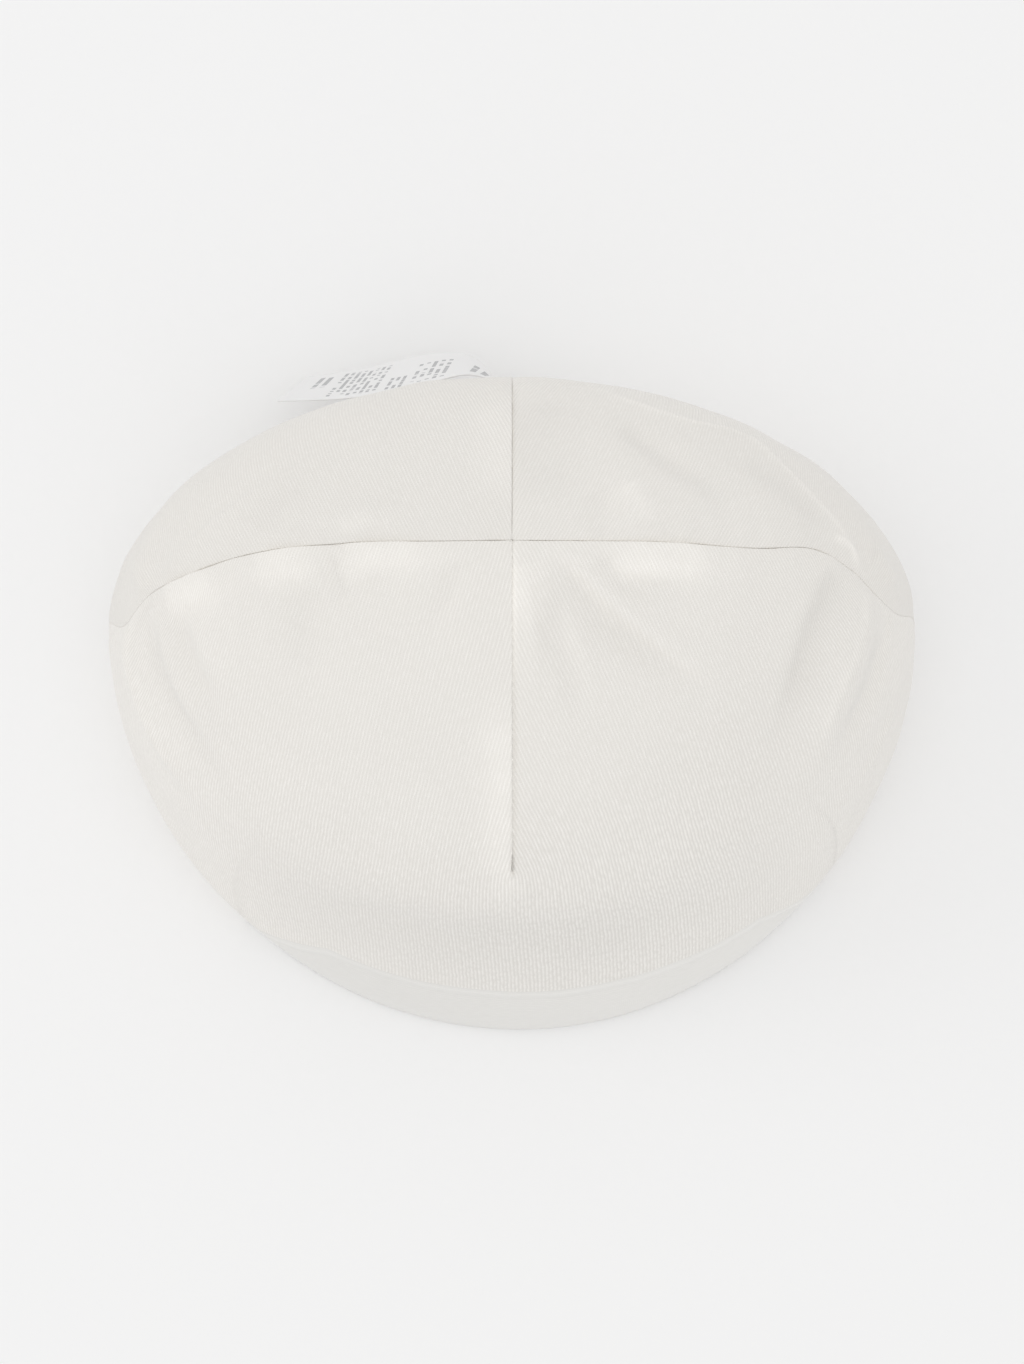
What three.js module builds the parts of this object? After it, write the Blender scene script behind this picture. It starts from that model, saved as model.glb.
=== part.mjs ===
// A child's earflap cap in white cotton jersey, standing crown up on its rim with both flaps turned up
// inside. It is sewn from a front panel with a centre dart, two back panels, a band across the brow, two
// earflaps, and a care label caught in the centre back seam.
//
// Millimetres. x runs from ear to ear, y from the brow (negative) to the nape (positive), z up from the
// surface that the cap stands on. All shapes are worked out with y = 0 on the line between the ears, and
// at the end the cap is moved so that the middle of its footprint is the origin.

import * as THREE from "three";
import { mergeVertices } from "three/addons/utils/BufferGeometryUtils.js";

// Driving dimensions.
const HALF_WIDTH = 90; // from the middle to the fullest part over an ear
const BROW_REACH = 86.5; // from the ear seam forward to the rim
const NAPE_REACH = 49; // from the ear seam back to the fullest part of the back
const HEIGHT = 97; // the heights of the rings are shares of this
const WALL = 2; // two layers of jersey, sewn together
const SEAM_GAP = 0.3; // between the pieces that a seam joins
const SWAY = 1.5; // how far the rim and the hem stand to the right at the brow
const FULLNESS = { brow: 2, nape: 1.95 }; // superellipse powers of the plan; 2 is an ellipse

// The rings of the cap, from the rim to the middle of the crown. width, brow and nape are shares of the
// three reaches. ear is how far the ear seam stands behind the line between the ears, in millimetres.
// browUp, earUp and napeUp are heights as shares of HEIGHT.
const RINGS = [
  { name: "rim", width: 0.955, brow: 1, nape: 0.93, ear: -2, browUp: 0, earUp: 0, napeUp: 0 },
  { name: "belly", width: 0.99, brow: 0.985, nape: 0.975, ear: -2, browUp: 0.11, earUp: 0.13, napeUp: 0.16 },
  { name: "hem", width: 1, brow: 0.938, nape: 1, ear: -1, browUp: 0.25, earUp: 0.27, napeUp: 0.34 },
  { name: "wall", width: 0.97, brow: 0.872, nape: 0.99, ear: 1, browUp: 0.5, earUp: 0.49, napeUp: 0.56 },
  { name: "shoulder", width: 0.885, brow: 0.79, nape: 0.9, ear: 3, browUp: 0.76, earUp: 0.7, napeUp: 0.76 },
  { name: "slope", width: 0.7, brow: 0.61, nape: 0.69, ear: 5.5, browUp: 0.905, earUp: 0.875, napeUp: 0.88 },
  { name: "top", width: 0.42, brow: 0.33, nape: 0.42, ear: 7.5, browUp: 0.975, earUp: 0.96, napeUp: 0.955 },
  { name: "crown", width: 0, brow: 0, nape: 0, ear: 8, browUp: 0.98, earUp: 0.98, napeUp: 0.98 },
];
const ringShare = (name) => RINGS.findIndex((ring) => ring.name === name) / (RINGS.length - 1);

// Soft folds, each a ridge (lift above 0) or a valley (lift below 0) along a curve seen from above.
const FOLDS = [
  { name: "right shoulder edge", from: [75, 6], via: [66, 36], to: [17, 47], halfWidth: 5, lift: 1.8 },
  { name: "left shoulder edge", from: [-76, 2], via: [-56, 31], to: [0, 40], halfWidth: 6, lift: 1.1 },
  { name: "right side ridge", from: [77, -1], via: [73, -18], to: [67, -43], halfWidth: 4.5, lift: 1.4 },
  { name: "right side valley", from: [70, 2], via: [61, -12], to: [53, -40], halfWidth: 4.5, lift: -2 },
  { name: "right inner ridge", from: [64, -3], via: [58, -16], to: [55, -28], halfWidth: 4, lift: 1 },
  { name: "right low valley", from: [79, -3], via: [81, -19], to: [77, -31], halfWidth: 4.5, lift: -1.8 },
  { name: "left wall ridge", from: [-85, -5], via: [-86, -19], to: [-76, -34], halfWidth: 3.5, lift: 0.8 },
  { name: "left side valley", from: [-77, -1], via: [-81, -18], to: [-59, -44], halfWidth: 4, lift: -1.6 },
  { name: "crown crease", from: [12, -3], via: [19, -9], to: [40, -23], halfWidth: 4, lift: -1.2 },
  { name: "crown swell", from: [14, 1], via: [28, -5], to: [44, -12], halfWidth: 5, lift: 1.2 },
];
const FOLD_STEPS = 12;
const FOLD_END = 0.35; // how strong a fold still is at its two ends

// The seams pull the outer layer down into a soft groove. The dart's is along the middle of the front.
const GROOVE = { depth: 0.9, halfWidth: 3 };
const DART = { tip: -64, fade: 12 }; // the y where it ends, and the length over which it dies out
// The ear seams bend. The right one goes back at the shoulder and forward below it, and the left one goes
// forward all the way down; turn in degrees, at and spread in up.
const EAR_BENDS = [
  { side: 1, turn: 5, at: 0.7, spread: 0.07 },
  { side: 1, turn: -3.6, at: 0.52, spread: 0.11 },
  { side: -1, turn: 1.5, at: 0.66, spread: 0.07 },
  { side: -1, turn: 5, at: 0.49, spread: 0.1 },
];

// The band runs under the front panel from one flap to the other. from, to and round are angles in
// degrees, the last being the stretch over which its ends round off.
const BAND = { from: -134, to: -37, round: 16, inset: 0.4 };

// Each flap is turned up inside, against the wall: its two edges are angles from the ear line, in degrees.
const FLAP = { front: -33, back: 38, top: 0.5, gap: 0.5, roundness: 0.93, arch: 0.12 };

// The label is a strip that hangs on edge out of the back seam. Each row is a place along it: its top
// edge, and how far its lower edge stands out behind the cap and along towards the seam.
const LABEL = { width: 24, thickness: 0.5 };
const LABEL_ROUTE = [
  { x: -1, y: 49.3, z: 47, out: -1, along: 0 },
  { x: -10, y: 52.4, z: 45, out: 7.5, along: 2.5 },
  { x: -22, y: 50.6, z: 42, out: 11.5, along: 4 },
  { x: -36.4, y: 49.4, z: 37, out: 11, along: 5.2 },
  { x: -52.5, y: 49.8, z: 31, out: 9.3, along: 5.7 },
];

// How finely each piece is faceted.
const ROWS = 18;
const FRONT_COLUMNS = 40;
const BACK_COLUMNS = 16;
const BAND_ROWS = 3;
const FLAP_GRID = { rows: 8, columns: 14 };
const LABEL_GRID = { rows: 2, columns: 14 };
const CROWDING = 0.035; // how much closer the front's columns stand beside its seams and its dart
const SAME_POINT = 1e-3;

const { clamp, degToRad, lerp, smoothstep } = THREE.MathUtils;
const NAPE = Math.PI / 2;

// A value between the rows of a table, on a Catmull-Rom curve through them; share runs from 0 to 1.
function between(table, column, share) {
  const place = clamp(share, 0, 1) * (table.length - 1);
  const row = Math.min(Math.floor(place), table.length - 2);
  const at = (k) => table[clamp(k, 0, table.length - 1)][column];
  const u = place - row;
  const rise = at(row + 1) - at(row);
  const slopeIn = (at(row + 1) - at(row - 1)) / 2;
  const slopeOut = (at(row + 2) - at(row)) / 2;
  const bend = 3 * rise - 2 * slopeIn - slopeOut;
  const twist = slopeIn + slopeOut - 2 * rise;
  return at(row) + u * (slopeIn + u * (bend + u * twist));
}

// A bell: 1 at no distance, and dying away over the half width.
function bell(distance, halfWidth) {
  return Math.exp(-((distance / halfWidth) ** 2));
}

// The smooth cap, with no folds. angle is 0 over the right ear and 90 degrees at the nape; up is 0 at the
// rim and 1 in the middle of the crown. Each ring is half a superellipse in front of the ear seam and half
// behind it, and its height goes smoothly from the brow or the nape to the ears.
function smoothPoint(angle, up) {
  const ring = (column) => between(RINGS, column, up);
  const across = Math.cos(angle);
  const along = Math.sin(angle);
  const front = along < 0;
  const power = 2 / (front ? FULLNESS.brow : FULLNESS.nape);
  const reach = front ? BROW_REACH * ring("brow") : NAPE_REACH * ring("nape");
  const endUp = front ? ring("browUp") : ring("napeUp");
  const low = 1 - smoothstep(up, ringShare("hem"), ringShare("shoulder"));
  const sway = front ? SWAY * low * along ** 2 : 0;
  return new THREE.Vector3(
    HALF_WIDTH * ring("width") * Math.sign(across) * Math.abs(across) ** power + sway,
    ring("ear") + reach * Math.sign(along) * Math.abs(along) ** power,
    HEIGHT * (ring("earUp") * across ** 2 + endUp * along ** 2),
  );
}

// The outward direction at a point of the smooth cap, from steps to both sides of it.
function outward(angle, up) {
  const step = 1e-3;
  if (up > 1 - step) return new THREE.Vector3(0, 0, 1);
  const round = smoothPoint(angle + step, up).sub(smoothPoint(angle - step, up));
  const rise = smoothPoint(angle, up + step).sub(smoothPoint(angle, Math.max(up - step, 0)));
  return round.cross(rise).normalize();
}

const FOLD_CURVES = FOLDS.map((fold) => {
  const [from, via, to] = [fold.from, fold.via, fold.to].map((point) => new THREE.Vector2(...point));
  return { ...fold, points: new THREE.QuadraticBezierCurve(from, via, to).getPoints(FOLD_STEPS) };
});

// How far the folds lift the cloth at a point: each is a bell across its curve, weaker towards its ends.
function liftAt(point) {
  const here = new THREE.Vector2(point.x, point.y);
  const strengths = FOLD_CURVES.map(({ points, halfWidth, lift }) => {
    const nearby = points.map((place, k) => {
      const strength = lerp(FOLD_END, 1, Math.sin((Math.PI * k) / FOLD_STEPS));
      return strength * bell(place.distanceTo(here), halfWidth);
    });
    return lift * Math.max(...nearby);
  });
  return strengths.reduce((sum, lift) => sum + lift, 0);
}

// How deep the seams pull the cloth in at a point: the ear seam, the back seam and the dart.
function grooveAt(point, angle, up) {
  const nearest = Math.cos(angle) > 0 ? earSeam(1, up) : earSeam(-1, up);
  const fromEarSeam = smoothPoint(angle, up).distanceTo(smoothPoint(nearest, up));
  const middle = bell(point.x, GROOVE.halfWidth);
  const dart = Math.sin(angle) < 0 ? smoothstep(point.y, DART.tip, DART.tip + DART.fade) : 1;
  return GROOVE.depth * Math.max(bell(fromEarSeam, GROOVE.halfWidth), middle * dart);
}

// A point of the cap's cloth, depth millimetres inside its outer face. Only the outer face is grooved.
function clothPoint(angle, up, depth) {
  const point = smoothPoint(angle, up);
  const fade = smoothstep(up, 0, ringShare("hem")); // the rim stays a plain curve
  const sink = depth > 0 ? depth : grooveAt(point, angle, up) * fade;
  const cloth = point.clone().addScaledVector(outward(angle, up), liftAt(point) * fade - sink);
  if (up === 0) cloth.z = 0; // the rim lies flat on the surface
  return cloth;
}

// The angle of the ear seam, side being 1 for the right ear and -1 for the left.
function earSeam(side, up) {
  const straight = side > 0 ? 0 : Math.PI;
  const bends = EAR_BENDS.filter((bend) => bend.side === side);
  return bends.reduce((angle, bend) => angle + degToRad(bend.turn) * bell(up - bend.at, bend.spread), straight);
}

// A closed wall between an outer and an inner grid of points, each a list of rows. Rows run up and
// columns run anticlockwise seen from above, so the outer grid faces out.
function wallBetween(outer, inner) {
  const corners = [];
  const quad = (a, b, c, d) => corners.push([a, b, c], [a, c, d]);
  const lastRow = outer.length - 1;
  const last = outer[0].length - 1;
  for (let i = 0; i < lastRow; i++) {
    for (let j = 0; j < last; j++) {
      quad(outer[i][j], outer[i][j + 1], outer[i + 1][j + 1], outer[i + 1][j]);
      quad(inner[i][j], inner[i + 1][j], inner[i + 1][j + 1], inner[i][j + 1]);
    }
    quad(outer[i][0], outer[i + 1][0], inner[i + 1][0], inner[i][0]);
    quad(outer[i + 1][last], outer[i][last], inner[i][last], inner[i + 1][last]);
  }
  for (let j = 0; j < last; j++) {
    quad(outer[0][j + 1], outer[0][j], inner[0][j], inner[0][j + 1]);
    quad(outer[lastRow][j], outer[lastRow][j + 1], inner[lastRow][j + 1], inner[lastRow][j]);
  }
  // Where a row or a column closes to one point, the faces that come to nothing are left out.
  const apart = (a, b) => a.distanceTo(b) > SAME_POINT;
  const solid = corners.filter(([a, b, c]) => apart(a, b) && apart(b, c) && apart(c, a));
  return mergeVertices(new THREE.BufferGeometry().setFromPoints(solid.flat()), SAME_POINT);
}

// A grid of points: place(row share, column share) for every row and column.
function grid({ rows, columns }, place) {
  return Array.from({ length: rows + 1 }, (_, i) =>
    Array.from({ length: columns + 1 }, (_, j) => place(i / rows, j / columns)),
  );
}

// A wall of the cap's own thickness, or of another, from a function of row share, column share and depth.
function sewnWall(size, place, thickness = WALL) {
  return wallBetween(
    grid(size, (rise, share) => place(rise, share, 0)),
    grid(size, (rise, share) => place(rise, share, thickness)),
  );
}

// The angle of a place along the front, share running from the left ear seam to the right one.
function frontAngle(share, up) {
  const crowded = share - CROWDING * Math.sin(4 * Math.PI * share);
  return lerp(earSeam(-1, up) - 2 * Math.PI, earSeam(1, up), crowded);
}

// Where the front panel's lower edge runs: up the hem ring over the band, and down at the rim elsewhere.
function frontEdge(angle) {
  const fromEnd = Math.min(angle - degToRad(BAND.from), degToRad(BAND.to) - angle);
  return ringShare("hem") * Math.sqrt(clamp(fromEnd / degToRad(BAND.round), 0, 1));
}

function frontPanel() {
  return sewnWall({ rows: ROWS, columns: FRONT_COLUMNS }, (rise, share, depth) => {
    const up = lerp(frontEdge(frontAngle(share, 0)), 1, rise);
    const point = clothPoint(frontAngle(share, up), up, depth);
    if (share === 0 || share === 1 || rise === 1) point.y -= SEAM_GAP / 2;
    return point;
  });
}

// side is 1 for the right panel and -1 for the left.
function backPanel(side) {
  return sewnWall({ rows: ROWS, columns: BACK_COLUMNS }, (up, share, depth) => {
    const [start, end] = side > 0 ? [earSeam(1, up), NAPE] : [NAPE, earSeam(-1, up)];
    const point = clothPoint(lerp(start, end, share), up, depth);
    const atMiddle = share === (side > 0 ? 1 : 0);
    if (atMiddle || up === 1) point.x = (side * SEAM_GAP) / 2;
    if (!atMiddle && (share === 0 || share === 1 || up === 1)) point.y += SEAM_GAP / 2;
    return point;
  });
}

// The band has the front panel's columns, so that their edges run side by side. It ends in a point just
// inside the column where the panel's edge has come down to the rim.
function browBand() {
  const shares = Array.from({ length: FRONT_COLUMNS + 1 }, (_, j) => j / FRONT_COLUMNS);
  const over = shares.filter((share) => frontEdge(frontAngle(share, 0)) > 0);
  const pitch = 1 / FRONT_COLUMNS;
  const slack = SEAM_GAP / HALF_WIDTH / Math.PI;
  const columns = [over[0] - pitch + slack, ...over, over.at(-1) + pitch - slack];
  return sewnWall({ rows: BAND_ROWS, columns: columns.length - 1 }, (rise, place, depth) => {
    const share = columns[Math.round(place * (columns.length - 1))];
    const top = Math.max(frontEdge(frontAngle(share, 0)) - SEAM_GAP / HEIGHT, 0);
    const up = rise * top;
    return clothPoint(frontAngle(share, up), up, BAND.inset + depth);
  });
}

// side is 1 for the right ear and -1 for the left.
function earflap(side) {
  const middle = degToRad((FLAP.front + FLAP.back) / 2);
  const halfSpan = degToRad((FLAP.back - FLAP.front) / 2);
  return sewnWall(FLAP_GRID, (rise, share, depth) => {
    const across = 2 * share - 1;
    const narrowing = Math.sqrt(1 - (FLAP.roundness * rise) ** 3); // straight sides, then a round end
    const angle = (side > 0 ? middle : Math.PI - middle) + halfSpan * across * narrowing;
    const up = FLAP.top * rise * (1 - FLAP.arch * across ** 2);
    return clothPoint(angle, up, WALL + FLAP.gap + depth);
  });
}

function careLabel() {
  const place = (rise, share, depth) => {
    const row = (column) => between(LABEL_ROUTE, column, share);
    const drop = Math.sqrt(LABEL.width ** 2 - row("out") ** 2 - row("along") ** 2);
    return new THREE.Vector3(
      row("x") + row("along") * (1 - rise),
      row("y") + row("out") * (1 - rise) - depth,
      row("z") - drop * (1 - rise),
    );
  };
  return sewnWall(LABEL_GRID, place, LABEL.thickness);
}

const jersey = { color: 0xe6e3de, roughness: 0.95, metalness: 0 };
const smoothJersey = { color: 0xdedddb, roughness: 0.95, metalness: 0 };
const satin = { color: 0xe8e7e5, roughness: 0.6, metalness: 0 };

function piece(name, geometry, finish) {
  const mesh = new THREE.Mesh(geometry, new THREE.MeshStandardMaterial(finish));
  mesh.name = name;
  return mesh;
}

const cap = new THREE.Group();
cap.add(
  piece("front_panel", frontPanel(), jersey),
  piece("back_panel_right", backPanel(1), jersey),
  piece("back_panel_left", backPanel(-1), jersey),
  piece("brow_band", browBand(), smoothJersey),
  piece("earflap_right", earflap(1), jersey),
  piece("earflap_left", earflap(-1), jersey),
  piece("care_label", careLabel(), satin),
);
const footprint = new THREE.Box3().setFromObject(cap).getCenter(new THREE.Vector3());
cap.position.set(-footprint.x, -footprint.y, 0);

export default cap;
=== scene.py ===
import bmesh
import bpy
import numpy as np
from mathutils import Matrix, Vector


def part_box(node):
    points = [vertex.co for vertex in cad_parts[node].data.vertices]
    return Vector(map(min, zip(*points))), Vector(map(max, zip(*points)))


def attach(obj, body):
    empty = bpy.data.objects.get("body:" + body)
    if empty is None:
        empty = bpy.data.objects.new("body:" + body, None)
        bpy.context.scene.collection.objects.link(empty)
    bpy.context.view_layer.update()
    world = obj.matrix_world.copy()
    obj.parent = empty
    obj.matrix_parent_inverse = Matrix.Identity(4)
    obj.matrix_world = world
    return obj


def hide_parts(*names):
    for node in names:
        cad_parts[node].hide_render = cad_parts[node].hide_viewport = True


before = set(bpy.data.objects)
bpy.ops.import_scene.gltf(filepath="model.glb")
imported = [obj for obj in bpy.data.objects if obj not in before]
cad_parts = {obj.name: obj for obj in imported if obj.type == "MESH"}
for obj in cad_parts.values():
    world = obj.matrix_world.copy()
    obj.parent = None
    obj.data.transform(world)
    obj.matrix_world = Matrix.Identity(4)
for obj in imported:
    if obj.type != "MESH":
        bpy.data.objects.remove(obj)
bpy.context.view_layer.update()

# ---------------------------------------------------------------------------------------------------------
# The front panel. One doubled piece of fine cotton jersey that covers the head from ear to ear. A dart from
# the crown to above the brow gives it its dome. It is sewn to the back panels along the ear seam and to the
# brow band along its lower edge, and each seam turns its edge down between the two layers.

MM = 0.001
DEG = np.pi / 180
HALF_WIDTH = 90.0  # millimetres, from the middle to the fullest part over an ear
BROW_REACH = 86.5  # from the ear seam forward to the rim
NAPE_REACH = 49.0  # from the ear seam back to the fullest part of the back
HEIGHT = 97.0
WALL = 2.0  # two layers of jersey
SEAM_GAP = 0.3
SEAM_SLIT = 0.02  # what shows of the gap once the turned edges press together
SWAY = 1.5  # how far the rim stands to the right at the brow
FULLNESS = {"brow": 2.0, "nape": 1.95}  # superellipse powers of the plan

# The rings of the cap, from the rim to the middle of the crown. Widths and reaches are shares of the sizes
# above, ear is how far the ear seam stands behind the line between the ears, heights are shares of HEIGHT.
RING_NAMES = ("rim", "belly", "hem", "wall", "shoulder", "slope", "top", "crown")
RINGS = {
    "width": (0.955, 0.99, 1.0, 0.97, 0.885, 0.7, 0.42, 0.0),
    "brow": (1.0, 0.985, 0.938, 0.872, 0.79, 0.61, 0.33, 0.0),
    "nape": (0.93, 0.975, 1.0, 0.99, 0.9, 0.69, 0.42, 0.0),
    "ear": (-2.0, -2.0, -1.0, 1.0, 3.0, 5.5, 7.5, 8.0),
    "brow_up": (0.0, 0.11, 0.25, 0.5, 0.76, 0.905, 0.975, 0.98),
    "ear_up": (0.0, 0.13, 0.27, 0.49, 0.7, 0.875, 0.96, 0.98),
    "nape_up": (0.0, 0.16, 0.34, 0.56, 0.76, 0.88, 0.955, 0.98),
}
HEM = RING_NAMES.index("hem") / (len(RING_NAMES) - 1)
SHOULDER = RING_NAMES.index("shoulder") / (len(RING_NAMES) - 1)
CROWN_EAR = RINGS["ear"][-1]

# The frame says where the line between the ears is: the front panel ends half a gap before the crown.
EAR_LINE = Vector((0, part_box("front_panel")[1].y - (CROWN_EAR - SEAM_GAP / 2) * MM, 0))


def smoothstep(value, low, high):
    """0 below low, 1 above high, and the cubic 3t^2 - 2t^3 between them."""
    share = np.clip((value - low) / (high - low), 0, 1)
    return share * share * (3 - 2 * share)


def bell(distance, half_width):
    """exp(-(distance / half width)^2)."""
    return np.exp(-((distance / half_width) ** 2))


def curve_through(values, share):
    """The Catmull-Rom curve through evenly spaced values, at a share of its length. Between two values it is
    the cubic whose slopes at both are half the step from the value before to the value after."""
    values = np.array(values)
    last = len(values) - 1
    place = np.clip(share, 0, 1) * last
    row = np.minimum(place.astype(int), last - 1)
    u = place - row
    before, here, there, after = (values[np.clip(row + k, 0, last)] for k in (-1, 0, 1, 2))
    slope_in, slope_out, rise = (there - before) / 2, (after - here) / 2, there - here
    bend, twist = 3 * rise - 2 * slope_in - slope_out, slope_in + slope_out - 2 * rise
    return here + u * (slope_in + u * (bend + u * twist))


def ring_value(column, up):
    """A column of the ring table at a share up the cap."""
    return curve_through(RINGS[column], up)


def smooth_cap(angle, up):
    """The cap without folds. x is width times cos and y is ear place plus reach times sin, each to the
    superellipse's power; z goes from the end's height to the ear's by the square of cos. angle is 0 over the
    right ear and 90 degrees at the nape; up is 0 at the rim and 1 in the middle of the crown."""
    angle, up = np.broadcast_arrays(np.asarray(angle, float), np.asarray(up, float))
    across, along = np.cos(angle), np.sin(angle)
    front = along < 0
    power = np.where(front, 2 / FULLNESS["brow"], 2 / FULLNESS["nape"])
    reach = np.where(front, BROW_REACH * ring_value("brow", up), NAPE_REACH * ring_value("nape", up))
    end_up = np.where(front, ring_value("brow_up", up), ring_value("nape_up", up))
    sway = SWAY * (1 - smoothstep(up, HEM, SHOULDER)) * np.where(front, along**2, 0)
    x = HALF_WIDTH * ring_value("width", up) * np.sign(across) * np.abs(across) ** power + sway
    y = ring_value("ear", up) + reach * np.sign(along) * np.abs(along) ** power
    z = HEIGHT * (ring_value("ear_up", up) * across**2 + end_up * along**2)
    return np.stack([x, y, z], axis=-1)


def outward(angle, up):
    """The cap's outward direction: the cross product of small steps round and up, turned to straight up in
    the last few millimetres before the middle of the crown."""
    step = 1e-3
    low = np.clip(up, step, 1 - 2 * step)
    round_step = smooth_cap(angle + step, low) - smooth_cap(angle - step, low)
    rise_step = smooth_cap(angle, low + step) - smooth_cap(angle, low - step)
    normal = np.cross(round_step, rise_step)
    normal /= np.linalg.norm(normal, axis=-1, keepdims=True)
    at_crown = smoothstep(up, 0.95, 1.0)[..., None]
    normal = normal * (1 - at_crown) + np.array([0, 0, 1]) * at_crown
    return normal / np.linalg.norm(normal, axis=-1, keepdims=True)


# The bends of the two ear seams: degrees towards the nape on the right and towards the brow on the left, and
# where they lie and how far they spread, as shares up the cap.
EAR_BENDS = {1: ((5, 0.7, 0.07), (-3.6, 0.52, 0.11)), -1: ((1.5, 0.66, 0.07), (5, 0.49, 0.1))}


def ear_seam(side, up):
    """The angle of an ear seam: over the ear plus the sum of turn * exp(-((up - at) / spread)^2)."""
    bend = sum(turn * bell(up - at, spread) for turn, at, spread in EAR_BENDS[side])
    return (0 if side > 0 else np.pi) + bend * DEG


def line_sum(points, normals, rows, fade_in=0.3, fade_out=0.4):
    """What all the rows add at each point. A row runs along the curve through its places, each an angle in
    degrees and a share up the cap. It adds amount * exp(-(distance / width)^2), with one width to the left
    and another to the right of its way, times a share that grows as a smoothstep from ENDS to 1 over its
    first part, fade_in, and falls again over its last, fade_out."""
    total = np.zeros(points.shape[:-1])
    share = np.linspace(0, 1, 61)
    change_over = 0.8  # millimetres over which one width turns into the other
    for name, left, right, amount, places in rows:
        angles, ups = np.array(places).T
        line = smooth_cap(curve_through(angles, share) * DEG, curve_through(ups, share))
        fade = ENDS + (1 - ENDS) * smoothstep(share, 0, fade_in) * smoothstep(-share, -1, fade_out - 1)
        reach = 2.6 * max(left, right) + 6  # nothing that shows is added beyond it
        near = np.linalg.norm(points[..., None, :] - line[::10], axis=-1).min(-1) < reach
        here = points[near]
        gaps = here[:, None] - line[None]
        nearest = (gaps**2).sum(-1).argmin(1)
        gap = gaps[np.arange(len(here)), nearest]
        ways = np.gradient(line, axis=0)
        way = (ways / np.linalg.norm(ways, axis=-1, keepdims=True))[nearest]
        to_left = (np.cross(normals[near], way) * gap).sum(-1)
        past_end = (gap * way).sum(-1)
        width = right + (left - right) * (0.5 + 0.5 * np.tanh(to_left / change_over))
        distance = np.hypot(to_left / width, past_end / min(left, right, 3))
        total[near] += amount * fade[nearest] * np.exp(-(distance**2))
    return total


def unevenness(points, wavelength, height, seed):
    """Soft unevenness: many cosine waves in random directions with lengths about the wavelength."""
    rng = np.random.default_rng(seed)
    count = 36
    ways = rng.normal(size=(count, 3))
    lengths = wavelength * rng.uniform(0.6, 1.6, count)
    ways *= (2 * np.pi / lengths / np.linalg.norm(ways, axis=1))[:, None]
    waves = np.cos(points @ ways.T + rng.uniform(0, 2 * np.pi, count))
    return height * waves.mean(-1) * np.sqrt(count) / 2


def gathers(run, distance, reach, height, seed):
    """Small puckers beside a seam: cosine waves of 6 to 16 mm along its run, dying away over the reach."""
    rng = np.random.default_rng(seed)
    count = 9
    lengths, starts = rng.uniform(6, 16, count), rng.uniform(0, 2 * np.pi, count)
    waves = np.cos(run[..., None] * (2 * np.pi / lengths) + starts).mean(-1) * 2
    return height * waves * bell(distance, reach) * smoothstep(distance, 0, 2)


def level_by_seam(distance, up):
    """What is left of the folds beside a seam: all above the shoulder, and none at the seam below it."""
    return 1 - (1 - smoothstep(distance, 0, 2.5)) * (1 - smoothstep(up, 0.6, 0.64))


def seam_turn(run, up, seed):
    """How far from a seam its edge starts to turn in: in waves along it, hardly at all below the shoulder."""
    waves = 0.18 + gathers(run, np.full_like(run, 9.0), 1e3, 0.18, seed)
    return 0.03 + np.clip(waves, 0, 1) * smoothstep(up, 0.54, 0.66)


def turned_edge(distance, reach, depth=WALL / 2):
    """How far an edge turns in: a quarter of an ellipse, as deep as given, over the reach."""
    inner = np.clip(1 - distance / reach, 0, 1)
    return depth * (1 - np.sqrt(1 - inner**2))


def pressed_seam(distance, reach):
    """How far a sewn edge turns in where the cloth beyond the seam presses against it: twice the reach."""
    return turned_edge(distance, reach, 2 * reach)


def shares(count, seams=()):
    """Even shares from 0 to 1 with more beside the seams. 0 and 1 come twice, so that an edge has one row of
    points on the cloth's surface and one in the middle of its wall."""
    beside = [seam + side * step for seam in seams for side in (-1, 1) for step in (0.0006, 0.0018, 0.004)]
    spread = np.unique(np.round(np.concatenate([np.linspace(0, 1, count), beside]), 6))
    spread = spread[(spread >= 0) & (spread <= 1)]
    return np.concatenate([[0], spread, [1]])


def to_mid_wall(sink, edges):
    """The sink with its outermost rows or columns at mid wall; edges names them, as in "bottom left"."""
    sink = sink.copy()
    places = {"bottom": np.s_[0], "top": np.s_[-1], "left": np.s_[:, 0], "right": np.s_[:, -1]}
    for edge, where in places.items():
        if edge in edges:
            sink[where] = WALL / 2
    return sink


def crowded(count, amount):
    """Shares from 0 to 1 that stand closer at both ends: share - amount * sin(2 pi share) / (2 pi)."""
    share = np.linspace(0, 1, count)
    return share - amount * np.sin(2 * np.pi * share) / (2 * np.pi)


def column_lengths(points):
    """The length of each column of the grid, added up from its lower end."""
    steps = np.linalg.norm(np.diff(points, axis=0), axis=-1)
    return np.concatenate([np.zeros((1, points.shape[1])), steps.cumsum(0)])


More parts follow.
